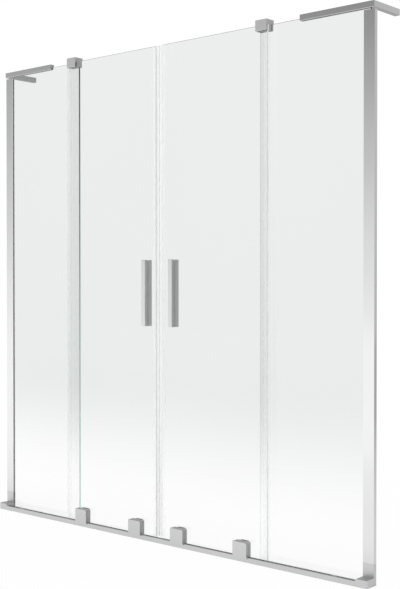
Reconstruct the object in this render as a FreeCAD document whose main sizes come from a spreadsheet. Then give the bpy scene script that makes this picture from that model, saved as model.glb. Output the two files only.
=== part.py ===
"""Sliding bath screen: two fixed panels, two doors on wheels, a bottom rail and wall profiles.

Frame: X runs along the screen, Y from the room towards the bath, Z up. The origin is on the bath's rim,
under the middle of the rail, in the plane of the doors' glass. The right half is modelled and mirrored.
"""
import FreeCAD, Part
import Sketcher
import os
import re

# Driving dimensions in millimetres
SIZES = {
    # whole screen, to the brackets' tops
    "screen_width": 1480, "screen_height": 1500, "glass_thickness": 6, "arris": 0.4, "seat_gap": 0.1,
    # bottom rail, measured from the plane of the doors
    "rail_front": 17, "rail_clear": 1, "rail_height": 14.5, "rail_wall": 3, "rail_floor": 2, "rail_edge": 1,
    "flange_reach": 10, "groove_width": 6, "groove_floor": 7,
    # end blocks of the rail and the wall profiles on them
    "corner_length": 38, "corner_height": 21, "foot_height": 57.5, "tongue_length": 14, "tongue_play": 0.15,
    "profile_front": 14.5, "profile_width": 33, "profile_depth": 12, "profile_wall": 1.5, "profile_gap": 4,
    # fixed panels
    "fixed_reach": 370, "fixed_drop": 10, "fixed_sill": 3, "profile_engage": 20,
    "gasket_thickness": 0.5, "gasket_width": 14, "gasket_lip": 1.5, "rim_seal_height": 10,
    # corner brackets
    "bracket_height": 16.7, "bracket_reach": 234, "bracket_return": 126.5, "bracket_width": 16,
    "bracket_proud": 3, "bracket_edge": 0.8, "grub_start": 45, "grub_pitch": 110,
    "grub_radius": 2, "grub_play": 0.05, "grub_recess": 0.6, "grub_key": 1.1, "slot_play": 0.2,
    # guide cubes over the panels' top corners
    "guide_inset": 2.5, "guide_length": 40, "guide_drop": 27.5, "guide_rise": 3, "guide_front_wall": 1.4,
    "guide_back_wall": 5.5, "guide_edge": 1, "liner_thickness": 0.8, "liner_play": 0.3,
    # doors
    "door_inner": 12.5, "door_overlap": 38.5, "sill_gap": 2, "door_drop": 12.6, "travel_clear": 3.5,
    # handles
    "handle_inset": 42.5, "handle_middle": 747.5, "handle_width": 15, "handle_length": 200,
    "outer_thickness": 12, "inner_thickness": 16, "handle_edge": 1.2,
    "stud_pitch": 160, "stud_radius": 2.5, "stud_depth": 8, "handle_bush_radius": 5, "bush_play": 0.1,
    # roller carriages
    "carriage_end": 82.5, "carriage_start": 74.5, "carriage_width": 50, "carriage_depth": 20,
    "carriage_top": 56.5, "carriage_lift": 0.5, "carriage_corner": 4, "carriage_edge": 1, "carriage_nose": 4,
    "lip_drop": 4.5, "lip_gap": 1,
    "wheel_radius": 12, "wheel_width": 5, "wheel_play": 1, "wheel_hub": 5, "wheel_rim": 9.4,
    "wheel_chamfer": 0.8, "wheel_dish": 1.2, "axle_radius": 2, "axle_chamfer": 0.4, "running_play": 0.05,
    "bolt_radius": 3, "bolt_height": 42, "bolt_depth": 11, "bolt_head_radius": 5.5, "bolt_head_height": 3.2,
    "bolt_head_edge": 2, "bolt_key": 2, "bolt_key_depth": 2,
    "plate_size": 30, "plate_thickness": 3, "plate_corner": 4, "carriage_bush_radius": 6,
    "stop_length": 12, "stop_gap": 0.4, "stop_sink": 0.5,
    # clear seals on the doors' edges
    "seal_wall": 1.1, "seal_fit": 0.05, "seal_grip": 12, "seal_lift": 2.5, "seal_clear": 4.5,
    "meeting_gap": 0.6, "magnet_thickness": 5, "fin_gap": 0.4, "fin_lean": 3,
}

doc = FreeCAD.newDocument("SlidingBathScreen")
sheet = doc.addObject("Spreadsheet::Sheet", "Sizes")
for row, (name, size) in enumerate(SIZES.items(), start=1):
    sheet.set(f"A{row}", name)
    sheet.set(f"B{row}", str(size))
    sheet.setAlias(f"B{row}", name)
doc.recompute()

# Places that several pieces share, worked out from the driving dimensions
PLACES = {
    "half_width": "screen_width / 2",
    "half_glass": "glass_thickness / 2",
    "seat": "half_glass + seat_gap",
    "rail_back": "-half_glass - rail_clear",
    "wheel_plane": "(rail_front - rail_back) / 2",
    "profile_inner": "half_width - profile_width",
    "profile_back": "profile_front + profile_depth",
    "profile_top": "bracket_base - profile_gap",
    "fixed_front": "profile_front + profile_wall + gasket_thickness",
    "fixed_back": "fixed_front + glass_thickness",
    "fixed_inner": "half_width - fixed_reach",
    "fixed_outer": "profile_inner + profile_engage",
    "fixed_top": "screen_height - fixed_drop",
    "bracket_base": "screen_height - bracket_height",
    "bracket_front": "profile_front - bracket_proud",
    "bracket_back": "bracket_front + bracket_width",
    "guide_base": "screen_height - guide_drop",
    "guide_start": "fixed_inner - guide_inset",
    "guide_end": "guide_start + guide_length",
    "channel_half": "half_glass + liner_play + liner_thickness",
    "guide_front": "channel_half + guide_front_wall",
    "guide_back": "fixed_back + guide_back_wall",
    "channel_top": "door_top + liner_play + liner_thickness",
    "door_outer": "fixed_inner + door_overlap",
    "door_sill": "rail_floor + sill_gap",
    "door_top": "screen_height - door_drop",
    "door_travel": "half_width - corner_length - door_outer - travel_clear",
    "handle_place": "door_inner + handle_inset",
    "carriage_outer": "door_outer - carriage_end",
    "carriage_inner": "door_inner + carriage_start",
    "axle_height": "groove_floor + wheel_radius + running_play",
    "carriage_base": "rail_height + carriage_lift",
    "carriage_front": "-seat - carriage_depth",
    "seal_base": "rail_height + seal_lift",
    "seal_inner": "half_glass + seal_fit",
    "seal_outer": "seal_inner + seal_wall",
    "edge_seal_top": "guide_base - seal_clear",
}


def bound(text):
    """An expression on the sheet's cells, from a formula in the names of sizes and places."""
    while PLACES.keys() & set(re.findall(r"[a-z_]+", text)):
        text = re.sub(r"[a-z_]+", lambda m: f"({PLACES[m[0]]})" if m[0] in PLACES else m[0], text)
    return re.sub(r"[a-z_]+", lambda m: f"Sizes.{m[0]}" if m[0] in SIZES else m[0], text)


def number(text):
    return float(sheet.evalExpression(bound(text)))


# Features, each with its sizes bound to the sheet

def new_body(label, place=("0", "0", "0")):
    body = doc.addObject("PartDesign::Body", label)
    body.Label = label
    for axis, text in zip("xyz", place):
        body.setExpression(f"Placement.Base.{axis}", bound(text))
    return body


def new_sketch(body, plane, height="0"):
    """A sketch parallel to an origin plane; height is along X, Y or Z for YZ, XZ or XY."""
    sketch = body.newObject("Sketcher::SketchObject", f"{body.Label}_sketch")
    origin_plane = [item for item in body.Origin.OriginFeatures if item.Role == f"{plane}_Plane"]
    sketch.AttachmentSupport = [(origin_plane[0], "")]
    sketch.MapMode = "FlatFace"
    along = f"-({height})" if plane == "XZ" else height
    sketch.setExpression("AttachmentOffset.Base.z", bound(along))
    return sketch


def pin(sketch, geometry, point, across, up):
    """Hold a sketch point at its distances from the sketch's origin."""
    for kind, text in (("DistanceX", across), ("DistanceY", up)):
        rule = Sketcher.Constraint(kind, -1, 1, geometry, point, number(text))
        index = sketch.addConstraint(rule)
        sketch.setExpression(f"Constraints[{index}]", bound(text))


def outline(sketch, points):
    """A closed line through points given as formulas."""
    count = len(points)
    first = sketch.GeometryCount
    corners = [FreeCAD.Vector(number(across), number(up), 0) for across, up in points]
    lines = [Part.LineSegment(corners[i], corners[(i + 1) % count]) for i in range(count)]
    sketch.addGeometry(lines, False)
    for i in range(count):
        sketch.addConstraint(Sketcher.Constraint("Coincident", first + i, 2, first + (i + 1) % count, 1))
    for i, (across, up) in enumerate(points):
        pin(sketch, first + i, 1, across, up)


def rectangle(sketch, left, right, low, high):
    outline(sketch, [(left, low), (right, low), (right, high), (left, high)])


def circle(sketch, across, up, radius):
    centre = FreeCAD.Vector(number(across), number(up), 0)
    geometry = sketch.addGeometry(Part.Circle(centre, FreeCAD.Vector(0, 0, 1), number(radius)), False)
    pin(sketch, geometry, 3, across, up)
    index = sketch.addConstraint(Sketcher.Constraint("Radius", geometry, number(radius)))
    sketch.setExpression(f"Constraints[{index}]", bound(radius))


def pad(body, sketch, length, plane):
    """Material from the sketch towards +X, +Y or +Z."""
    feature = body.newObject("PartDesign::Pad", f"{body.Label}_pad")
    feature.Profile = sketch
    feature.setExpression("Length", bound(length))
    feature.Reversed = plane == "XZ"
    doc.recompute()
    return feature


def pocket(body, sketch, length, plane, onward):
    """A cut from the sketch towards +X, +Y or +Z if onward, else the other way."""
    before = body.Shape.Volume
    feature = body.newObject("PartDesign::Pocket", f"{body.Label}_pocket")
    feature.Profile = sketch
    feature.setExpression("Length", bound(length))
    feature.Reversed = onward != (plane == "XZ")
    doc.recompute()
    if body.Shape.Volume > before - 1e-6:
        raise RuntimeError(f"a pocket of {body.Label} cuts nothing")
    return feature


def pattern(body, feature, sketch, axis, count, span):
    """Copies of a cut in a line along the sketch's H or V axis."""
    row = body.newObject("PartDesign::LinearPattern", f"{body.Label}_pattern")
    row.Originals = [feature]
    row.Direction = (sketch, [f"{axis}_Axis"])
    row.setExpression("Length", bound(span))
    row.Occurrences = count
    body.Tip = row
    doc.recompute()


def revolve(body, sketch, axis):
    feature = body.newObject("PartDesign::Revolution", f"{body.Label}_turned")
    feature.Profile = sketch
    feature.ReferenceAxis = (sketch, [f"{axis}_Axis"])
    feature.Angle = 360
    doc.recompute()


def finish_edges(body, kind, size, chosen):
    """A Fillet or Chamfer on the edges for which chosen(middle, edge, box) is true."""
    base = body.Tip
    box = base.Shape.BoundBox
    names = []
    for i, edge in enumerate(base.Shape.Edges, start=1):
        middle = edge.valueAt((edge.FirstParameter + edge.LastParameter) / 2)
        if chosen(middle, edge, box):
            names.append(f"Edge{i}")
    feature = body.newObject(f"PartDesign::{kind}", f"{body.Label}_{kind.lower()}")
    feature.Base = (base, names)
    feature.setExpression("Radius" if kind == "Fillet" else "Size", bound(size))
    doc.recompute()


def runs_along(edge, axis):
    """True for a straight edge along an axis."""
    if edge.Curve.TypeId != "Part::GeomLine":
        return False
    return abs(edge.Curve.Direction.dot(FreeCAD.Vector(*axis))) > 0.999


def near(value, *others):
    return any(abs(value - other) < 1e-3 for other in others)


def group(label, pieces):
    """Separate solids that share one node."""
    together = doc.addObject("Part::Compound", label)
    together.Label = label
    together.Links = pieces
    doc.recompute()
    return together


# The wall profile's section, which the foot on the rail's end block continues
PROFILE_SECTION = [
    ("profile_inner", "profile_front"), ("half_width", "profile_front"),
    ("half_width", "profile_back"), ("profile_inner", "profile_back"),
    ("profile_inner", "profile_back - profile_wall"),
    ("half_width - profile_wall", "profile_back - profile_wall"),
    ("half_width - profile_wall", "profile_front + profile_wall"),
    ("profile_inner", "profile_front + profile_wall"),
]

# The hollow under the rail's groove, which takes the end blocks' tongues
HOLLOW = ("-rail_front + rail_wall", "rail_back - rail_wall", "rail_floor", "groove_floor - rail_floor")

# The height of the grub screws that clamp the brackets to the fixed glass
GRUB_HEIGHT = "(bracket_base + fixed_top) / 2"


# Fixed pieces

def bottom_rail():
    """Slim rail with the wheels' groove, and a thin flange on the bath's rim under the doors' glass."""
    body = new_body("bottom_rail")
    section = new_sketch(body, "YZ", "-(half_width - corner_length)")
    groove_front, groove_back = "-wheel_plane - groove_width / 2", "-wheel_plane + groove_width / 2"
    outline(section, [
        ("-rail_front", "0"), ("flange_reach", "0"), ("flange_reach", "rail_floor"),
        ("rail_back", "rail_floor"), ("rail_back", "rail_height"),
        (groove_back, "rail_height"), (groove_back, "groove_floor"),
        (groove_front, "groove_floor"), (groove_front, "rail_height"), ("-rail_front", "rail_height"),
    ])
    rectangle(section, *HOLLOW)
    pad(body, section, "screen_width - 2 * corner_length", "YZ")
    back = number("rail_back")
    finish_edges(body, "Fillet", "rail_edge", lambda middle, edge, box: runs_along(edge, (1, 0, 0))
                 and near(middle.z, box.ZMax) and near(middle.y, box.YMin, back))
    return body


def rail_stops():
    """Stops in the groove, at both ends of each door's travel."""
    starts = ["carriage_outer + door_travel + wheel_radius + stop_gap",
              "carriage_inner - wheel_radius - stop_gap - stop_length"]
    stops = []
    for start in starts + [f"-({start}) - stop_length" for start in starts]:
        body = new_body("rail_stop")
        base = new_sketch(body, "XY", "groove_floor")
        rectangle(base, start, f"{start} + stop_length",
                  "-wheel_plane - groove_width / 2", "-wheel_plane + groove_width / 2")
        pad(body, base, "rail_height - groove_floor - stop_sink", "XY")
        stops.append(body)
    return group("rail_stops", stops)


def corner_block():
    """End of the rail: a higher block with a sloping shoulder, and the foot of the wall profile."""
    body = new_body("corner_block_right")
    front = new_sketch(body, "XZ", "-rail_front")
    outline(front, [
        ("half_width - corner_length", "0"), ("half_width", "0"), ("half_width", "corner_height"),
        ("profile_inner", "corner_height"), ("half_width - corner_length", "rail_height"),
    ])
    pad(body, front, "rail_front + profile_front", "XZ")
    foot = new_sketch(body, "XY")
    outline(foot, PROFILE_SECTION)
    pad(body, foot, "foot_height", "XY")
    tongue = new_sketch(body, "YZ", "half_width - corner_length - tongue_length")
    left, right, low, high = HOLLOW
    rectangle(tongue, f"{left} + tongue_play", f"{right} - tongue_play",
              f"{low} + tongue_play", f"{high} - tongue_play")
    pad(body, tongue, "tongue_length", "YZ")
    shoulder = number("rail_height")
    finish_edges(body, "Fillet", "rail_edge", lambda middle, edge, box: near(middle.y, box.YMin)
                 and (middle.z > shoulder or near(middle.x, box.XMax)))
    return body


def wall_profile():
    body = new_body("wall_profile_right")
    section = new_sketch(body, "XY", "foot_height")
    outline(section, PROFILE_SECTION)
    pad(body, section, "profile_top - foot_height", "XY")
    return body


def glazing_gasket():
    """A thin strip before the glass and a lipped wedge behind it, in the profile's slot."""
    strip = new_body("gasket_strip")
    base = new_sketch(strip, "XY", "fixed_sill")
    rectangle(base, "profile_inner", "profile_inner + gasket_width",
              "profile_front + profile_wall", "fixed_front")
    pad(strip, base, "profile_top - fixed_sill", "XY")
    wedge = new_body("gasket_wedge")
    base = new_sketch(wedge, "XY", "fixed_sill")
    outline(base, [
        ("profile_inner - gasket_lip", "fixed_back"), ("profile_inner + gasket_width", "fixed_back"),
        ("profile_inner + gasket_width", "profile_back - profile_wall - gasket_lip"),
        ("profile_inner + gasket_width / 2", "profile_back - profile_wall"),
        ("profile_inner", "profile_back - profile_wall"),
        ("profile_inner - gasket_lip", "profile_back - profile_wall - gasket_lip"),
    ])
    pad(wedge, base, "profile_top - fixed_sill", "XY")
    return group("glazing_gasket_right", [strip, wedge])


def is_glass_outline(middle, edge, box):
    return edge.Curve.TypeId == "Part::GeomLine" and near(middle.y, box.YMin, box.YMax)


def fixed_glass():
    body = new_body("fixed_glass_right")
    front = new_sketch(body, "XZ", "fixed_front")
    rectangle(front, "fixed_inner", "fixed_outer", "fixed_sill", "fixed_top")
    pad(body, front, "glass_thickness", "XZ")
    finish_edges(body, "Chamfer", "arris", is_glass_outline)
    return body


def rim_seal():
    """A channel under the fixed glass that seals it to the bath's rim."""
    body = new_body("rim_seal_right")
    section = new_sketch(body, "YZ", "fixed_inner")
    front, back = "fixed_front - seal_fit", "fixed_back + seal_fit"
    front_out, back_out = f"{front} - seal_wall", f"{back} + seal_wall"
    outline(section, [
        (front_out, "0"), (back_out, "0"), (back_out, "rim_seal_height"), (back, "rim_seal_height"),
        (back, "fixed_sill"), (front, "fixed_sill"),
        (front, "rim_seal_height"), (front_out, "rim_seal_height"),
    ])
    pad(body, section, "profile_inner - gasket_lip - fixed_inner", "YZ")
    return body


def bracket():
    """One arm over the fixed glass, one arm back along the wall."""
    body = new_body("bracket_right")
    over_glass = new_sketch(body, "YZ", "half_width - bracket_reach")
    rectangle(over_glass, "bracket_front", "bracket_back", "bracket_base", "screen_height")
    pad(body, over_glass, "bracket_reach", "YZ")
    along_wall = new_sketch(body, "XZ", "bracket_back")
    rectangle(along_wall, "half_width - bracket_width", "half_width", "bracket_base", "screen_height")
    pad(body, along_wall, "bracket_return - bracket_width", "XZ")
    finish_edges(body, "Fillet", "bracket_edge", lambda middle, edge, box: near(middle.z, box.ZMax, box.ZMin)
                 or near(middle.x, box.XMin) or near(middle.y, box.YMax))
    slot = new_sketch(body, "XY", "bracket_base")
    rectangle(slot, "half_width - bracket_reach", "fixed_outer + slot_play",
              "fixed_front - slot_play", "fixed_back + slot_play")
    pocket(body, slot, "fixed_top - bracket_base + slot_play", "XY", True)
    grub = new_sketch(body, "XZ", "bracket_back")
    circle(grub, "half_width - bracket_reach + grub_start", GRUB_HEIGHT, "grub_radius")
    hole = pocket(body, grub, "bracket_back - fixed_back", "XZ", False)
    pattern(body, hole, grub, "H", 2, "grub_pitch")
    return body


def grub_screw(label, across, up, mouth):
    """A set screw with a hexagon socket, from its hole's mouth to the fixed glass."""
    body = new_body(label, (across, "fixed_back", up))
    end = new_sketch(body, "XZ")
    circle(end, "0", "0", "grub_radius - grub_play")
    length = f"{mouth} - fixed_back - grub_recess"
    pad(body, end, length, "XZ")
    socket = new_sketch(body, "XZ", length)
    hexagon(socket, "grub_key")
    pocket(body, socket, "grub_radius", "XZ", False)
    return body


def hexagon(sketch, reach):
    """A hexagon round the sketch's origin; reach is from the middle to a corner."""
    half, tall = f"{reach} / 2", f"{reach} * sqrt(3) / 2"
    outline(sketch, [(reach, "0"), (half, tall), (f"-{half}", tall),
                     (f"-{reach}", "0"), (f"-{half}", f"-{tall}"), (half, f"-{tall}")])


def bracket_screws():
    start = "half_width - bracket_reach + grub_start"
    return group("bracket_screws_right", [
        grub_screw("bracket_screw", across, GRUB_HEIGHT, "bracket_back")
        for across in (start, f"{start} + grub_pitch")])


def guide_block():
    """Cube that clamps the fixed glass's top corner and guides the door's top edge."""
    body = new_body("guide_block_right")
    base = new_sketch(body, "XY", "guide_base")
    rectangle(base, "guide_start", "guide_end", "-guide_front", "guide_back")
    pad(body, base, "guide_drop + guide_rise", "XY")
    finish_edges(body, "Fillet", "guide_edge", lambda middle, edge, box: True)
    channel = new_sketch(body, "YZ", "guide_start")
    rectangle(channel, "-channel_half", "channel_half", "guide_base", "channel_top")
    pocket(body, channel, "guide_length", "YZ", True)
    slot = new_sketch(body, "YZ", "fixed_inner - slot_play")
    rectangle(slot, "fixed_front - slot_play", "fixed_back + slot_play",
              "guide_base", "fixed_top + slot_play")
    pocket(body, slot, "guide_end - fixed_inner + slot_play", "YZ", True)
    grub = new_sketch(body, "XZ", "guide_back")
    circle(grub, "(guide_start + guide_end) / 2", "(guide_base + fixed_top) / 2", "grub_radius")
    pocket(body, grub, "guide_back_wall", "XZ", False)
    return body


def guide_liner():
    """Plastic channel in which the door's top edge slides."""
    body = new_body("guide_liner_right")
    section = new_sketch(body, "YZ", "guide_start + guide_edge")
    inner, ceiling = "channel_half - liner_thickness", "channel_top - liner_thickness"
    low = "guide_base + guide_edge"
    outline(section, [
        ("-channel_half", low), (f"-({inner})", low), (f"-({inner})", ceiling),
        (inner, ceiling), (inner, low), ("channel_half", low),
        ("channel_half", "channel_top"), ("-channel_half", "channel_top"),
    ])
    pad(body, section, "guide_length - 2 * guide_edge", "YZ")
    return body


def guide_screw():
    return grub_screw("guide_screw_right", "(guide_start + guide_end) / 2", "(guide_base + fixed_top) / 2",
                      "guide_back")


# Pieces of a door

HANDLE_HOLES = [("handle_place", "handle_middle - stud_pitch / 2"),
                ("handle_place", "handle_middle + stud_pitch / 2")]
CARRIAGE_HOLES = [("carriage_outer", "bolt_height"), ("carriage_inner", "bolt_height")]


def door_glass():
    body = new_body("door_glass_right")
    front = new_sketch(body, "XZ", "-half_glass")
    rectangle(front, "door_inner", "door_outer", "door_sill", "door_top")
    pad(body, front, "glass_thickness", "XZ")
    finish_edges(body, "Chamfer", "arris", is_glass_outline)
    holes = new_sketch(body, "XZ", "-half_glass")
    for across, up in HANDLE_HOLES:
        circle(holes, across, up, "handle_bush_radius + bush_play")
    for across, up in CARRIAGE_HOLES:
        circle(holes, across, up, "carriage_bush_radius + bush_play")
    pocket(body, holes, "glass_thickness", "XZ", True)
    return body


def glass_bushes():
    """Plastic sleeves that keep studs and bolts off the glass."""
    rings = [(place, "handle_bush_radius", "stud_radius") for place in HANDLE_HOLES]
    rings += [(place, "carriage_bush_radius", "bolt_radius") for place in CARRIAGE_HOLES]
    bushes = []
    for (across, up), outer, inner in rings:
        body = new_body("glass_bush", (across, "-half_glass", up))
        ring = new_sketch(body, "XZ")
        circle(ring, "0", "0", outer)
        circle(ring, "0", "0", inner)
        pad(body, ring, "glass_thickness", "XZ")
        bushes.append(body)
    return group("glass_bushes_right", bushes)


def handle_bar(label, low, high, glass_side, onward):
    """A square-edged grip that lies on one face of the glass."""
    body = new_body(label)
    base = new_sketch(body, "XY", "handle_middle - handle_length / 2")
    rectangle(base, "handle_place - handle_width / 2", "handle_place + handle_width / 2", low, high)
    pad(body, base, "handle_length", "XY")
    seat = number(glass_side)
    finish_edges(body, "Fillet", "handle_edge", lambda middle, edge, box: not near(middle.y, seat))
    face = new_sketch(body, "XZ", glass_side)
    circle(face, *HANDLE_HOLES[0], "stud_radius")
    hole = pocket(body, face, "stud_depth", "XZ", onward)
    pattern(body, hole, face, "V", 2, "stud_pitch")
    return body


def handle_studs():
    studs = []
    for across, up in HANDLE_HOLES:
        body = new_body("handle_stud", (across, "-half_glass - stud_depth + stop_gap", up))
        end = new_sketch(body, "XZ")
        circle(end, "0", "0", "stud_radius - grub_play")
        pad(body, end, "glass_thickness + 2 * (stud_depth - stop_gap)", "XZ")
        studs.append(body)
    return group("handle_studs_right", studs)


def magnet_seal():
    """Clear channel on the door's meeting edge, with a chamber for the magnet strip."""
    body = new_body("magnet_seal_right")
    section = new_sketch(body, "XY", "seal_base")
    grip_end = "door_inner + seal_grip"
    outline(section, [
        ("meeting_gap", "-seal_outer"), (grip_end, "-seal_outer"), (grip_end, "-seal_inner"),
        ("door_inner - seal_fit", "-seal_inner"), ("door_inner - seal_fit", "seal_inner"),
        (grip_end, "seal_inner"), (grip_end, "seal_outer"), ("meeting_gap", "seal_outer"),
    ])
    rectangle(section, "meeting_gap + seal_wall", "door_inner - seal_fit - seal_wall",
              "-seal_inner", "seal_inner")
    pad(body, section, "door_top - seal_base", "XY")
    return body


def magnet_strip():
    body = new_body("magnet_strip_right")
    section = new_sketch(body, "XY", "seal_base")
    rectangle(section, "meeting_gap + seal_wall", "meeting_gap + seal_wall + magnet_thickness",
              "-seal_inner", "seal_inner")
    pad(body, section, "door_top - seal_base", "XY")
    return body


def edge_seal():
    """Clear channel on the door's outer edge, with a fin that wipes the fixed glass."""
    body = new_body("edge_seal_right")
    section = new_sketch(body, "XY", "seal_base")
    grip_end, web, tip = "door_outer - seal_grip", "door_outer + seal_fit", "fixed_front - fin_gap"
    web_out = f"{web} + seal_wall"
    outline(section, [
        (grip_end, "-seal_outer"), (web_out, "-seal_outer"), (web_out, "seal_outer"),
        ("door_outer - fin_lean + seal_wall", tip), ("door_outer - fin_lean", tip), (web, "seal_outer"),
        (grip_end, "seal_outer"), (grip_end, "seal_inner"), (web, "seal_inner"),
        (web, "-seal_inner"), (grip_end, "-seal_inner"),
    ])
    pad(body, section, "edge_seal_top - seal_base", "XY")
    return body


# Roller carriages, one near each end of a door's bottom edge

def carriage(where, across):
    """Rounded block on the front of the glass, with a well for its wheel and a lip before the rail."""
    body = new_body(f"carriage_right_{where}", (across, "0", "0"))
    section = new_sketch(body, "YZ", "-carriage_width / 2")
    lip_back, lip_base = "-rail_front - lip_gap", "carriage_base - lip_drop"
    outline(section, [
        ("-seat", "carriage_base"), ("-seat", "carriage_top"), ("carriage_front", "carriage_top"),
        ("carriage_front", lip_base), (lip_back, lip_base), (lip_back, "carriage_base"),
    ])
    pad(body, section, "carriage_width", "YZ")
    finish_edges(body, "Fillet", "carriage_corner", lambda middle, edge, box: runs_along(edge, (0, 1, 0))
                 and near(middle.z, box.ZMax))
    finish_edges(body, "Fillet", "carriage_edge", lambda middle, edge, box: near(middle.y, box.YMin))
    well = new_sketch(body, "XY", "carriage_base")
    rectangle(well, "-wheel_radius - wheel_play", "wheel_radius + wheel_play",
              "-wheel_plane - wheel_width / 2 - wheel_play", "-wheel_plane + wheel_width / 2 + wheel_play")
    pocket(body, well, "axle_height + wheel_radius + wheel_play - carriage_base", "XY", True)
    back = new_sketch(body, "XZ", "-seat")
    circle(back, "0", "axle_height", "axle_radius + running_play")
    pocket(body, back, "carriage_depth - carriage_nose", "XZ", False)
    thread = new_sketch(body, "XZ", "-seat")
    circle(thread, "0", "bolt_height", "bolt_radius")
    pocket(body, thread, "bolt_depth", "XZ", False)
    return body


def carriage_wheel(where, across):
    """Dished plastic wheel that runs in the rail's groove."""
    body = new_body(f"carriage_wheel_right_{where}", (across, "-wheel_plane", "axle_height"))
    half = "wheel_width / 2"
    side = [("wheel_hub", half), ("wheel_hub + wheel_dish / 2", f"{half} - wheel_dish"),
            ("wheel_rim - wheel_dish / 2", f"{half} - wheel_dish"), ("wheel_rim", half),
            ("wheel_radius - wheel_chamfer", half), ("wheel_radius", f"{half} - wheel_chamfer")]
    bore = "axle_radius + running_play"
    section = new_sketch(body, "YZ")
    outline(section, [(f"-({half})", bore), (half, bore)] + [(along, radius) for radius, along in side]
            + [(f"-({along})", radius) for radius, along in reversed(side)])
    revolve(body, section, "H")
    return body


def carriage_axle(where, across):
    body = new_body(f"carriage_axle_right_{where}", (across, "carriage_front + carriage_nose", "axle_height"))
    end = new_sketch(body, "XZ", "stop_gap")
    circle(end, "0", "0", "axle_radius")
    pad(body, end, "carriage_depth - carriage_nose - 2 * stop_gap", "XZ")
    finish_edges(body, "Chamfer", "axle_chamfer",
                 lambda middle, edge, box: near(middle.y, box.YMin, box.YMax))
    return body


def carriage_plate(where, across):
    """Back plate behind the glass, under the bolt's head."""
    body = new_body(f"carriage_plate_right_{where}", (across, "0", "bolt_height"))
    face = new_sketch(body, "XZ", "seat")
    rectangle(face, "-plate_size / 2", "plate_size / 2", "-plate_size / 2", "plate_size / 2")
    pad(body, face, "plate_thickness", "XZ")
    finish_edges(body, "Fillet", "plate_corner", lambda middle, edge, box: runs_along(edge, (0, 1, 0)))
    hole = new_sketch(body, "XZ", "seat")
    circle(hole, "0", "0", "bolt_radius")
    pocket(body, hole, "plate_thickness", "XZ", True)
    return body


def carriage_bolt(where, across):
    """Button-head bolt from behind, through plate and glass, into the carriage."""
    body = new_body(f"carriage_bolt_right_{where}", (across, "0", "bolt_height"))
    tip, under_head = "-half_glass - bolt_depth + stop_gap", "seat + plate_thickness"
    head_top = f"{under_head} + bolt_head_height"
    shank = "bolt_radius - grub_play"
    section = new_sketch(body, "YZ")
    outline(section, [(tip, "0"), (head_top, "0"), (head_top, "bolt_head_radius"),
                      (under_head, "bolt_head_radius"), (under_head, shank), (tip, shank)])
    revolve(body, section, "H")
    finish_edges(body, "Fillet", "bolt_head_edge", lambda middle, edge, box: near(middle.y, box.YMax))
    socket = new_sketch(body, "XZ", head_top)
    hexagon(socket, "bolt_key")
    pocket(body, socket, "bolt_key_depth", "XZ", False)
    return body


def mirrored(piece):
    """The left half's copy of a right-hand piece."""
    copy = doc.addObject("Part::Mirroring", piece.Label.replace("_right", "_left"))
    copy.Label = piece.Label.replace("_right", "_left")
    copy.Source = piece
    copy.Normal = FreeCAD.Vector(1, 0, 0)
    copy.Base = FreeCAD.Vector(0, 0, 0)
    return copy


def build():
    """All sub-parts, each an object whose Label is its name."""
    middle = [bottom_rail(), rail_stops()]
    makers = (corner_block, wall_profile, glazing_gasket, fixed_glass, rim_seal, bracket, bracket_screws,
              guide_block, guide_liner, guide_screw, door_glass, glass_bushes, handle_studs,
              magnet_seal, magnet_strip, edge_seal)
    right = [make() for make in makers]
    right.append(handle_bar("handle_outer_right", "-seat - outer_thickness", "-seat", "-seat", False))
    right.append(handle_bar("handle_inner_right", "seat", "seat + inner_thickness", "seat", True))
    for where in ("outer", "inner"):
        for make in (carriage, carriage_wheel, carriage_axle, carriage_plate, carriage_bolt):
            right.append(make(where, f"carriage_{where}"))
    left = [mirrored(piece) for piece in right]
    doc.recompute()
    return middle + right + left


def export(pieces):
    """Check every object and shape, then write one STEP file for each sub-part."""
    for item in doc.Objects:
        if "Invalid" in item.State or "Error" in item.State:
            raise RuntimeError(f"{item.Label} failed: {item.State}")
    for piece in pieces:
        if piece.Shape.isNull() or not piece.Shape.isValid() or piece.Shape.Volume <= 0:
            raise RuntimeError(f"{piece.Label} has no valid shape")
    os.makedirs("parts", exist_ok=True)
    for piece in pieces:
        piece.Shape.exportStep(f"parts/{piece.Label}.step")
        print(f"{piece.Label}: {len(piece.Shape.Solids)} solids, {piece.Shape.Volume:.1f} mm3")


export(build())
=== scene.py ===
"""Looks of the sliding bath screen: glass, metals, clear seals, a white studio and the camera."""

import math

import bpy
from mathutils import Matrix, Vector

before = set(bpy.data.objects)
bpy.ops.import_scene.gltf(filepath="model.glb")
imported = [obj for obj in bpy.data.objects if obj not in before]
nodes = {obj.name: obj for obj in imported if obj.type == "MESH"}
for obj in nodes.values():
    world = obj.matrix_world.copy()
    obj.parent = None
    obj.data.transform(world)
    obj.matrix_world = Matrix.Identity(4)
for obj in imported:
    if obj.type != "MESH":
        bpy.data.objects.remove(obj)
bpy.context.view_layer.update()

# Camera, fitted to the photograph's edges
CAMERA_PLACE = (2.2183, -2.3522, 0.7844)
CAMERA_TURN = math.radians(41.1787)
CAMERA_DIP = math.radians(0.725)
FOCAL_PIXELS = 1077.793
PHOTO_HEIGHT = 589
SENSOR_MM = 36.0

# Where most values of a noise lie, and the whole of a share
NOISE_SPAN = (0.3, 0.7)
WHOLE = (0.0, 1.0)


# Shader nodes

def new_tree(name):
    """A material with an empty node tree and a Principled shader on its output."""
    material = bpy.data.materials.new(name)
    material.use_nodes = True
    tree = material.node_tree
    tree.nodes.clear()
    output = tree.nodes.new("ShaderNodeOutputMaterial")
    shader = tree.nodes.new("ShaderNodeBsdfPrincipled")
    tree.links.new(shader.outputs[0], output.inputs["Surface"])
    return material, tree, shader


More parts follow.
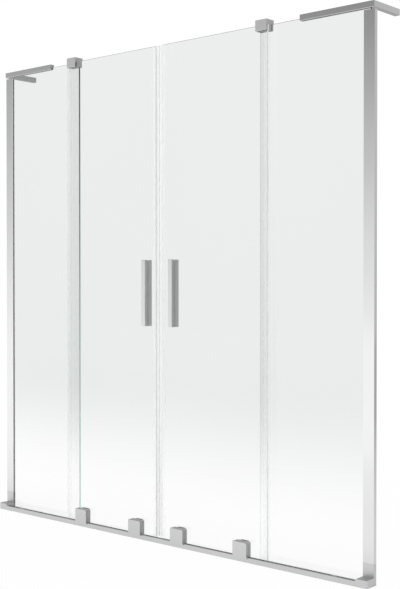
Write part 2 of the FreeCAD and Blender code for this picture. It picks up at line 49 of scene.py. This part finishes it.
def place_parts(tree):
    """The X, Y and Z sockets of a point's place in the part's frame."""
    place = tree.nodes.new("ShaderNodeTexCoord")
    parts = tree.nodes.new("ShaderNodeSeparateXYZ")
    tree.links.new(place.outputs["Object"], parts.inputs[0])
    return parts.outputs


def stretched_noise(tree, scale, detail=2.0):
    """Noise in the part's frame; scale is cycles a metre along X, Y and Z."""
    place = tree.nodes.new("ShaderNodeTexCoord")
    stretch = tree.nodes.new("ShaderNodeMapping")
    stretch.inputs["Scale"].default_value = scale
    noise = tree.nodes.new("ShaderNodeTexNoise")
    noise.inputs["Scale"].default_value = 1.0
    noise.inputs["Detail"].default_value = detail
    tree.links.new(place.outputs["Object"], stretch.inputs["Vector"])
    tree.links.new(stretch.outputs[0], noise.inputs["Vector"])
    return noise.outputs["Fac"]


def put(tree, socket, value):
    """Set a socket to a number, or link another socket to it."""
    if isinstance(value, float):
        socket.default_value = value
    else:
        tree.links.new(value, socket)


def calc(tree, operation, first, second):
    """A sum, product or the like of two values, each a number or a socket."""
    step = tree.nodes.new("ShaderNodeMath")
    step.operation = operation
    put(tree, step.inputs[0], first)
    put(tree, step.inputs[1], second)
    return step.outputs[0]


def mapped(tree, value, low, high, span=NOISE_SPAN, curve="LINEAR"):
    """The value, moved from its span to low..high and held there beyond it."""
    start, end = span
    spread = tree.nodes.new("ShaderNodeMapRange")
    spread.interpolation_type = curve
    for name, number in (("From Min", start), ("From Max", end), ("To Min", low), ("To Max", high)):
        spread.inputs[name].default_value = number
    tree.links.new(value, spread.inputs["Value"])
    return spread.outputs["Result"]


def between(tree, value, rise, fall):
    """A share that rises from 0 to 1 over one span of the value and falls again over a later one."""
    return calc(tree, "MULTIPLY", mapped(tree, value, 0.0, 1.0, rise), mapped(tree, value, 1.0, 0.0, fall))


def mixed_value(tree, factor, first, second):
    """A value between two, each a number or a socket."""
    blend = tree.nodes.new("ShaderNodeMix")
    blend.data_type = "FLOAT"
    tree.links.new(factor, blend.inputs["Factor"])
    put(tree, blend.inputs["A"], first)
    put(tree, blend.inputs["B"], second)
    return blend.outputs["Result"]


def blended(tree, value, first, second):
    """A colour between two colours, by a value from 0 to 1."""
    blend = tree.nodes.new("ShaderNodeMix")
    blend.data_type = "RGBA"
    blend.inputs["A"].default_value = (*first, 1.0)
    blend.inputs["B"].default_value = (*second, 1.0)
    tree.links.new(value, blend.inputs["Factor"])
    return blend.outputs["Result"]


def by_height(tree, stops):
    """A colour that runs through stops of (height in metres, colour), lowest first."""
    tallest = stops[-1][0]
    ramp = tree.nodes.new("ShaderNodeValToRGB")
    share = mapped(tree, place_parts(tree)["Z"], *WHOLE, span=(0.0, tallest))
    tree.links.new(share, ramp.inputs["Fac"])
    elements = ramp.color_ramp.elements
    while len(elements) < len(stops):
        elements.new(0.5)
    for element, (height, colour) in zip(elements, stops):
        element.position = height / tallest
        element.color = (*colour, 1.0)
    return ramp.outputs["Color"]


def varied(tree, colour, noise, low, high):
    """A colour made darker and lighter by a noise, between two shares."""
    change = tree.nodes.new("ShaderNodeVectorMath")
    change.operation = "SCALE"
    tree.links.new(colour, change.inputs[0])
    tree.links.new(mapped(tree, noise, low, high), change.inputs["Scale"])
    return change.outputs[0]


def roughened(tree, shader, noise, rough, spread):
    """A roughness that a noise changes by a share either way."""
    low, high = rough * (1.0 - spread), rough * (1.0 + spread)
    tree.links.new(mapped(tree, noise, low, high), shader.inputs["Roughness"])


def bumped(tree, shader, noise, height):
    """Relief of a few micrometres from a noise."""
    bump = tree.nodes.new("ShaderNodeBump")
    bump.inputs["Strength"].default_value = 1.0
    bump.inputs["Distance"].default_value = height
    tree.links.new(noise, bump.inputs["Height"])
    tree.links.new(bump.outputs[0], shader.inputs["Normal"])


# Metals: darkest and lightest colour, and roughness
SATIN = ((0.79, 0.793, 0.797), (0.83, 0.833, 0.837), 0.38)
# The grip tone is the satin chrome painted lighter, a lit copy of one metal for the handles
GRIP_PAINTED_LIGHTER = ((0.88, 0.883, 0.886), (0.92, 0.922, 0.925), 0.38)
# The cube tone is the satin chrome painted lighter, a lit copy of one metal for the guide blocks
CUBE_PAINTED_LIGHTER = ((0.89, 0.892, 0.895), (0.93, 0.932, 0.934), 0.45)
ARM = ((0.82, 0.823, 0.826), (0.86, 0.862, 0.865), 0.13)
BRIGHT = ((0.87, 0.873, 0.876), (0.91, 0.912, 0.915), 0.11)
STEEL = ((0.50, 0.50, 0.51), (0.60, 0.60, 0.61), 0.28)
# Fine lines along one axis and broad clouds of colour, in cycles a metre along X, Y and Z
ALONG_X = (3.0, 900.0, 900.0)
ALONG_Y = (900.0, 3.0, 900.0)
ALONG_Z = (900.0, 900.0, 3.0)
CLOUDS = (6.0, 6.0, 6.0)
BRUSH_DETAIL = 3.0
BRUSH_SPREAD = 0.2
BRUSH_RELIEF = 2e-6


def brushed_metal(name, tone, grain):
    """Metal of one of the tones above, with fine lines along one axis."""
    dark, light, rough = tone
    material, tree, shader = new_tree(name)
    lines = stretched_noise(tree, grain, BRUSH_DETAIL)
    clouds = mapped(tree, stretched_noise(tree, CLOUDS), *WHOLE)
    shader.inputs["Metallic"].default_value = 1.0
    tree.links.new(blended(tree, clouds, dark, light), shader.inputs["Base Color"])
    roughened(tree, shader, lines, rough, BRUSH_SPREAD)
    bumped(tree, shader, lines, BRUSH_RELIEF)
    return material


# The pane's faint green grey is its own tint; how it changes with height is painted reflection: clear near
# the rim, full grey above it, and paler again towards the top
PANE_CLEAR = (1.0, 1.0, 1.0)
PANE_GREY = (0.815, 0.833, 0.825)
PAINTED_CLEAR_UP_TO = 0.11
PAINTED_GREY_FULL_AT = 0.49
PAINTED_PALING_TOP = 1.5
PAINTED_GREY_AT_TOP = 0.56
# Slow waves of the pane's polish, which change its tint and roughness a little
GLASS_IOR = 1.5
WAVES = (2.0, 2.0, 1.2)
WAVE_SHARES = (0.995, 1.005)
WAVE_ROUGH = (0.0, 0.012)


def clear_glass():
    """Float glass with a faint tint, painted reflection that clears it near the rim and pales it towards the
    top, and slightly uneven polish.
    """
    material, tree, shader = new_tree("clear_glass")
    waves = stretched_noise(tree, WAVES)
    height = place_parts(tree)["Z"]
    # Painted reflection: the grey rises from clear near the rim and pales again towards the top
    rising = mapped(tree, height, *WHOLE, span=(PAINTED_CLEAR_UP_TO, PAINTED_GREY_FULL_AT), curve="SMOOTHSTEP")
    paling = mapped(tree, height, 1.0, PAINTED_GREY_AT_TOP, span=(PAINTED_GREY_FULL_AT, PAINTED_PALING_TOP))
    tint = blended(tree, calc(tree, "MULTIPLY", rising, paling), PANE_CLEAR, PANE_GREY)
    tree.links.new(varied(tree, tint, waves, *WAVE_SHARES), shader.inputs["Base Color"])
    tree.links.new(mapped(tree, waves, *WAVE_ROUGH), shader.inputs["Roughness"])
    shader.inputs["Transmission Weight"].default_value = 1.0
    shader.inputs["IOR"].default_value = GLASS_IOR
    return material


# A bare edge's own green at several heights, with painted light and shade: pale near the rim and deeper
# towards the top
EDGE_GREEN_WITH_PAINTED_SHADE = [
    (0.00, (0.66, 0.98, 0.90)), (0.42, (0.58, 0.84, 0.77)),
    (0.95, (0.14, 0.36, 0.295)), (1.50, (0.025, 0.11, 0.085)),
]
# An edge under a seal, which lets the light through
EDGE_PALE = [(0.00, (0.97, 0.985, 0.98)), (1.50, (0.95, 0.97, 0.965))]
# How much an upright or lower edge hides, seen from inside the pane
EDGE_INSIDE = 0.25
# Grind marks in cycles a metre, and how far they change an edge's colour and roughness
GRIND = (300.0, 300.0, 40.0)
GRIND_DETAIL = 4.0
GRIND_SHARES = (0.92, 1.08)
GRIND_ROUGH = (0.12, 0.24)


def glass_edge(name, stops, cover=1.0):
    """Ground and polished edge of the glass; cover is how much it hides, seen from inside the pane."""
    material, tree, shader = new_tree(name)
    grind = stretched_noise(tree, GRIND, GRIND_DETAIL)
    colour = varied(tree, by_height(tree, stops), grind, *GRIND_SHARES)
    tree.links.new(colour, shader.inputs["Base Color"])
    tree.links.new(mapped(tree, grind, *GRIND_ROUGH), shader.inputs["Roughness"])
    shader.inputs["IOR"].default_value = GLASS_IOR
    if cover < 1.0:
        inside = tree.nodes.new("ShaderNodeNewGeometry").outputs["Backfacing"]
        tree.links.new(mapped(tree, inside, 1.0, cover, WHOLE), shader.inputs["Alpha"])
    return material


# Clear vinyl: draw lines in cycles a metre, milky colours, roughness, and how much one wall hides
DRAW_LINES = (80.0, 80.0, 2.0)
MILK_DARK = (0.92, 0.935, 0.93)
MILK_LIGHT = (0.95, 0.96, 0.957)
VINYL_ROUGH = (0.22, 0.34)
VINYL_COVER = (0.07, 0.09)


def clear_vinyl():
    """Extruded clear plastic, a little milky, with draw lines along its length."""
    material, tree, shader = new_tree("clear_vinyl")
    lines = stretched_noise(tree, DRAW_LINES)
    milk = blended(tree, mapped(tree, lines, *WHOLE), MILK_DARK, MILK_LIGHT)
    tree.links.new(milk, shader.inputs["Base Color"])
    tree.links.new(mapped(tree, lines, *VINYL_ROUGH), shader.inputs["Roughness"])
    tree.links.new(mapped(tree, lines, *VINYL_COVER), shader.inputs["Alpha"])
    return material


# Mouldings: darkest and lightest colour, roughness, grain in cycles a metre, and relief in metres
NYLON = ((0.84, 0.84, 0.83), (0.88, 0.88, 0.87), 0.42, 700.0, 8e-6)
MAGNET = ((0.94, 0.94, 0.94), (0.96, 0.96, 0.96), 0.55, 500.0, 6e-6)
PALE = ((0.91, 0.92, 0.92), (0.95, 0.96, 0.96), 0.5, 600.0, 6e-6)
RUBBER = ((0.42, 0.43, 0.43), (0.48, 0.49, 0.49), 0.6, 900.0, 1e-5)
ACETAL = ((0.17, 0.17, 0.175), (0.21, 0.21, 0.215), 0.45, 800.0, 8e-6)
MOULD_DETAIL = 3.0
MOULD_SPREAD = 0.15
# How much the thin magnet strip hides
MAGNET_COVER = 0.35


def moulded(name, tone, cover=1.0):
    """Plastic or rubber of one of the tones above, with a fine moulded texture."""
    dark, light, rough, grain, relief = tone
    material, tree, shader = new_tree(name)
    speckle = stretched_noise(tree, (grain, grain, grain), MOULD_DETAIL)
    tree.links.new(blended(tree, mapped(tree, speckle, *WHOLE), dark, light), shader.inputs["Base Color"])
    roughened(tree, shader, speckle, rough, MOULD_SPREAD)
    bumped(tree, shader, speckle, relief)
    shader.inputs["Alpha"].default_value = cover
    return material


# Materials
satin_x = brushed_metal("satin_chrome_along_x", SATIN, ALONG_X)
satin_z = brushed_metal("satin_chrome_along_z", SATIN, ALONG_Z)
grip_painted_lighter_z = brushed_metal("satin_grip_painted_lighter_along_z", GRIP_PAINTED_LIGHTER, ALONG_Z)
cube_painted_lighter_x = brushed_metal("satin_cube_painted_lighter_along_x", CUBE_PAINTED_LIGHTER, ALONG_X)
arm_x = brushed_metal("bright_chrome_along_x", ARM, ALONG_X)
bright_z = brushed_metal("bright_aluminium_along_z", BRIGHT, ALONG_Z)
steel = brushed_metal("turned_steel", STEEL, ALONG_Y)
glass = clear_glass()
# Bare and top edges: the glass's own green, painted paler near the rim and darker towards the top
green_edge = glass_edge("glass_edge_bare", EDGE_GREEN_WITH_PAINTED_SHADE, EDGE_INSIDE)
pale_edge = glass_edge("glass_edge_sealed", EDGE_PALE, EDGE_INSIDE)
top_edge = glass_edge("glass_edge_top", EDGE_GREEN_WITH_PAINTED_SHADE)
vinyl = clear_vinyl()
nylon = moulded("white_nylon", NYLON)
magnet = moulded("white_magnet", MAGNET, MAGNET_COVER)
pale_vinyl = moulded("pale_vinyl", PALE)
rubber = moulded("grey_rubber", RUBBER)
acetal = moulded("grey_acetal", ACETAL)

# Each node's material, by the start of its name
FINISHES = {
    "bottom_rail": satin_x, "rail_stops": rubber, "corner_block": satin_x, "wall_profile": bright_z,
    "glazing_gasket": pale_vinyl, "fixed_glass": glass, "rim_seal": vinyl, "bracket": arm_x,
    "bracket_screws": steel, "guide_block": cube_painted_lighter_x, "guide_liner": acetal, "guide_screw": steel,
    "door_glass": glass, "glass_bushes": nylon, "handle_outer": grip_painted_lighter_z, "handle_inner": grip_painted_lighter_z,
    "handle_studs": steel, "magnet_seal": vinyl, "magnet_strip": magnet, "edge_seal": vinyl,
    "carriage": satin_z, "carriage_wheel": nylon, "carriage_axle": steel, "carriage_plate": satin_z,
    "carriage_bolt": steel,
}
# The order of a pane's finishes on its mesh
PANE, BARE_EDGE, SEALED_EDGE, TOP_EDGE = range(4)
# A face looks along an axis where its normal has more than this along it
FLAT_ON = 0.9
# Which way along Y a handle faces the glass, where it has a thin pad
PAD_SIDE = {"handle_outer": 1.0, "handle_inner": -1.0}
# Which way along X a wall profile opens to the glass, with pale lips beside it
INWARD = {"wall_profile_left": 1.0, "wall_profile_right": -1.0}


def kind_of(name):
    """The longest key of FINISHES that the node's name starts with."""
    return max((key for key in FINISHES if name.startswith(key)), key=len)


def glass_side(name, normal):
    """Which of a pane's finishes a face takes; seals cover the upright edges of a door."""
    if abs(normal.y) > FLAT_ON:
        return PANE
    if normal.z > FLAT_ON:
        return TOP_EDGE
    if name.startswith("door_glass") and abs(normal.x) > FLAT_ON:
        return SEALED_EDGE
    return BARE_EDGE


def split_faces(piece, finishes, chosen):
    """More finishes on a piece; chosen gives the number of a face's finish from its normal."""
    for finish in finishes:
        piece.data.materials.append(finish)
    for face in piece.data.polygons:
        face.material_index = chosen(face.normal)


def dress(name, piece):
    """One finish all over, with others on a pane's edges, a wall profile's lips and a handle's pad."""
    kind = kind_of(name)
    finish = FINISHES[kind]
    piece.data.materials.clear()
    piece.data.materials.append(finish)
    if finish in (glass, vinyl):
        piece.visible_shadow = False
    if finish is glass:
        split_faces(piece, (green_edge, pale_edge, top_edge), lambda normal: glass_side(name, normal))
    if kind == "wall_profile":
        split_faces(piece, (pale_vinyl,), lambda normal: int(normal.x * INWARD[name] > FLAT_ON))
    if kind in PAD_SIDE:
        split_faces(piece, (pale_vinyl,), lambda normal: int(normal.y * PAD_SIDE[kind] > FLAT_ON))


for node_name, node in nodes.items():
    dress(node_name, node)

# Studio: what metal mirrors, as strengths where 1 is white
FRONT_WALL_LOW = 1.0
FRONT_WALL_HIGH = 0.28
GREY_WALL_LEFT = 0.42
GREY_WALL_RIGHT = 0.25
SIDE_CARD = 0.42
BACK_CARD_LOW = 0.52
BACK_CARD_HIGH = 0.56
AMBIENT = 0.85
# Where walls and cards change, as parts of a direction of length 1: up along Z, and along Y
FRONT_WALL_HEIGHTS = (-0.07, 0.25)
FRONT_WALL_DEPTHS = (-0.25, 0.05)
BACK_CARD_HEIGHTS = (-0.02, 0.25)
# Bearings in radians, from straight behind the screen towards its right end
BACK_CARD_RISE = (-0.5, -0.2)
BACK_CARD_FALL = (0.585, 0.65)
SIDE_CARD_RISE = (0.855, 0.87)
SIDE_CARD_FALL = (0.95, 0.98)
GREY_WALL_BEARINGS = (-0.5, 0.5)
# A ray's count of bounces under this is none
NO_BOUNCE = 0.5


def ray_shares(tree):
    """Two sockets: 1 on rays that come straight from the camera or through glass, and 1 on mirrored rays."""
    path = tree.nodes.new("ShaderNodeLightPath")
    clean = calc(tree, "LESS_THAN", path.outputs["Diffuse Depth"], NO_BOUNCE)
    unmirrored = calc(tree, "LESS_THAN", path.outputs["Glossy Depth"], NO_BOUNCE)
    seen = calc(tree, "MAXIMUM", path.outputs["Is Camera Ray"], path.outputs["Is Transmission Ray"])
    straight = calc(tree, "MULTIPLY", calc(tree, "MULTIPLY", seen, unmirrored), clean)
    mirrored = calc(tree, "MULTIPLY", calc(tree, "SUBTRACT", 1.0, unmirrored), clean)
    return straight, mirrored


def studio_world():
    """White to the camera; metal mirrors a front wall darker upwards, grey sides and two cards."""
    world = bpy.data.worlds.new("studio")
    bpy.context.scene.world = world
    world.use_nodes = True
    tree = world.node_tree
    tree.nodes.clear()
    output = tree.nodes.new("ShaderNodeOutputWorld")
    background = tree.nodes.new("ShaderNodeBackground")
    background.inputs["Color"].default_value = (1.0, 1.0, 1.0, 1.0)
    tree.links.new(background.outputs[0], output.inputs["Surface"])
    direction = tree.nodes.new("ShaderNodeTexCoord").outputs["Generated"]
    parts = tree.nodes.new("ShaderNodeSeparateXYZ")
    tree.links.new(direction, parts.inputs[0])
    across, back, up = (parts.outputs[axis] for axis in "XYZ")
    bearing = calc(tree, "ARCTAN2", across, back)
    wall = mapped(tree, up, FRONT_WALL_LOW, FRONT_WALL_HIGH, FRONT_WALL_HEIGHTS)
    card = mapped(tree, up, BACK_CARD_LOW, BACK_CARD_HIGH, BACK_CARD_HEIGHTS)
    grey = mapped(tree, bearing, GREY_WALL_LEFT, GREY_WALL_RIGHT, GREY_WALL_BEARINGS)
    side = mixed_value(tree, between(tree, bearing, SIDE_CARD_RISE, SIDE_CARD_FALL), grey, SIDE_CARD)
    behind = mixed_value(tree, between(tree, bearing, BACK_CARD_RISE, BACK_CARD_FALL), side, card)
    front_share = mapped(tree, back, 1.0, 0.0, FRONT_WALL_DEPTHS)
    reflected = mixed_value(tree, front_share, behind, wall)
    straight, mirrored = ray_shares(tree)
    unseen = mixed_value(tree, mirrored, AMBIENT, reflected)
    tree.links.new(mixed_value(tree, straight, unseen, 1.0), background.inputs["Strength"])


# Floor: side in metres, how far it lies under the rim, and how white the camera sees it under the object
FLOOR_SIZE = 20.0
FLOOR_DROP = 0.0006
FLOOR_COLOUR = (0.82, 0.82, 0.82, 1.0)
FLOOR_ROUGH = 0.9
FLOOR_WHITE = 0.97
# The floor that metal mirrors, as strengths where 1 is white, with painted shade: darker at the rail and
# behind the screen, lighter ahead, beside it and further away
MIRRORED_FLOOR_SHADE_AT_RAIL = 0.74
FLOOR_AHEAD = 0.88
MIRRORED_FLOOR_SHADE_BEHIND = 0.32
FLOOR_BESIDE = 0.66
MIRRORED_FLOOR_SHADE_FAR_BEHIND = 0.40
# Where these change, in metres: along Y, along X, and away from the origin
RAIL_TO_AHEAD = (-0.05, -0.35)
FRONT_TO_BEHIND = (-0.02, 0.02)
BEHIND_TO_BESIDE = (0.70, 0.76)
AHEAD_TO_FAR = (0.7, 2.2)
BEHIND_TO_FAR = (1.2, 4.0)
WHITE_TO_FAR = (0.8, 3.0)


def floor():
    """Pale floor that keeps the object's shadow and turns white with distance; what metal mirrors of it
    glows, with painted shade at the rail and behind the screen.
    """
    bpy.ops.mesh.primitive_plane_add(size=FLOOR_SIZE, location=(0.0, 0.0, -FLOOR_DROP))
    plane = bpy.context.object
    plane.name = "floor"
    material, tree, shader = new_tree("pale_floor")
    shader.inputs["Base Color"].default_value = FLOOR_COLOUR
    shader.inputs["Roughness"].default_value = FLOOR_ROUGH
    shader.inputs["Specular IOR Level"].default_value = 0.0
    place = place_parts(tree)
    across, back = place["X"], place["Y"]
    squares = calc(tree, "ADD", calc(tree, "MULTIPLY", across, across), calc(tree, "MULTIPLY", back, back))
    away = calc(tree, "POWER", squares, 0.5)
    # Painted shade in the mirrored floor: darker at the rail and behind the screen, lighter with distance
    ahead = mapped(tree, back, MIRRORED_FLOOR_SHADE_AT_RAIL, FLOOR_AHEAD, RAIL_TO_AHEAD)
    further = mapped(tree, away, 1.0, 1.0 / FLOOR_AHEAD, AHEAD_TO_FAR)
    front = calc(tree, "MULTIPLY", ahead, further)
    near_behind = mapped(tree, across, MIRRORED_FLOOR_SHADE_BEHIND, FLOOR_BESIDE, BEHIND_TO_BESIDE)
    behind = mixed_value(tree, mapped(tree, away, *WHOLE, BEHIND_TO_FAR), near_behind, MIRRORED_FLOOR_SHADE_FAR_BEHIND)
    reflected = mixed_value(tree, mapped(tree, back, *WHOLE, FRONT_TO_BEHIND), front, behind)
    straight, mirrored = ray_shares(tree)
    white = mapped(tree, away, FLOOR_WHITE, 1.0, WHITE_TO_FAR)
    glow_with_painted_shade = tree.nodes.new("ShaderNodeEmission")
    tree.links.new(mixed_value(tree, mirrored, 1.0, reflected), glow_with_painted_shade.inputs["Strength"])
    share = calc(tree, "ADD", calc(tree, "MULTIPLY", straight, white), mirrored)
    mix = tree.nodes.new("ShaderNodeMixShader")
    tree.links.new(share, mix.inputs[0])
    tree.links.new(shader.outputs[0], mix.inputs[1])
    tree.links.new(glow_with_painted_shade.outputs[0], mix.inputs[2])
    output = next(item for item in tree.nodes if item.type == "OUTPUT_MATERIAL")
    tree.links.new(mix.outputs[0], output.inputs["Surface"])
    plane.data.materials.append(material)


# Lamps: place, the point that each faces, side in metres, and watts
SOFTBOXES = {
    "front_softbox": ((-1.6, -3.0, 2.6), (0.0, -0.6, 0.0), 2.0, 40.0),
    "back_softbox": ((1.8, 3.0, 2.8), (0.0, 0.0, 0.6), 2.0, 30.0),
}


def softbox(name, place, target, size, watts):
    """A square lamp that faces a point and isn't itself in the picture."""
    lamp = bpy.data.lights.new(name, "AREA")
    lamp.size = size
    lamp.energy = watts
    thing = bpy.data.objects.new(name, lamp)
    bpy.context.scene.collection.objects.link(thing)
    thing.location = place
    towards = Vector(target) - thing.location
    thing.rotation_euler = towards.to_track_quat("-Z", "Y").to_euler()
    thing.visible_camera = False
    thing.visible_glossy = False
    thing.visible_transmission = False


def camera():
    """The photograph's viewpoint and angle of view."""
    lens = bpy.data.cameras.new("camera")
    lens.sensor_fit = "VERTICAL"
    lens.sensor_height = SENSOR_MM
    lens.lens = FOCAL_PIXELS / PHOTO_HEIGHT * SENSOR_MM
    thing = bpy.data.objects.new("camera", lens)
    bpy.context.scene.collection.objects.link(thing)
    thing.location = CAMERA_PLACE
    thing.rotation_euler = (math.pi / 2 - CAMERA_DIP, 0.0, CAMERA_TURN)
    bpy.context.scene.camera = thing


studio_world()
floor()
for lamp_name, setting in SOFTBOXES.items():
    softbox(lamp_name, *setting)
camera()
bpy.context.scene.view_settings.view_transform = "Standard"
